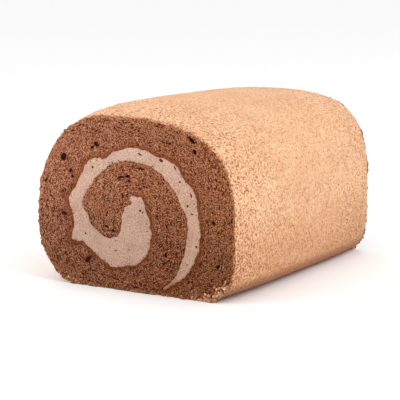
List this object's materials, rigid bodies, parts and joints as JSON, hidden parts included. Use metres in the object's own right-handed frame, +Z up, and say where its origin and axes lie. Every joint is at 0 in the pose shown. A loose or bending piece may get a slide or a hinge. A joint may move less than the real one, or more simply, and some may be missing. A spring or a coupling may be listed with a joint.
{
  "type": "swiss roll cake",
  "caption": "Chocolate swiss roll cake: a thick sponge sheet rolled round cocoa cream, with the swirl showing at its cut ends and tan baked skin outside.",
  "frame": {"origin": "on the surface that the roll lies on, under the middle of its box", "axes": "+Z up, the roll lies along Y, and its cut end faces -Y"},
  "size_m": [0.1012, 0.1254, 0.0765],
  "materials": {
    "sponge": "matte, porous chocolate crumb",
    "cream": "satin, smooth cocoa cream",
    "skin": "matte, finely pitted golden skin"
  },
  "bodies": {
    "root": {"sponge": "sponge", "cream": "cream"}
  },
  "joints": []
}
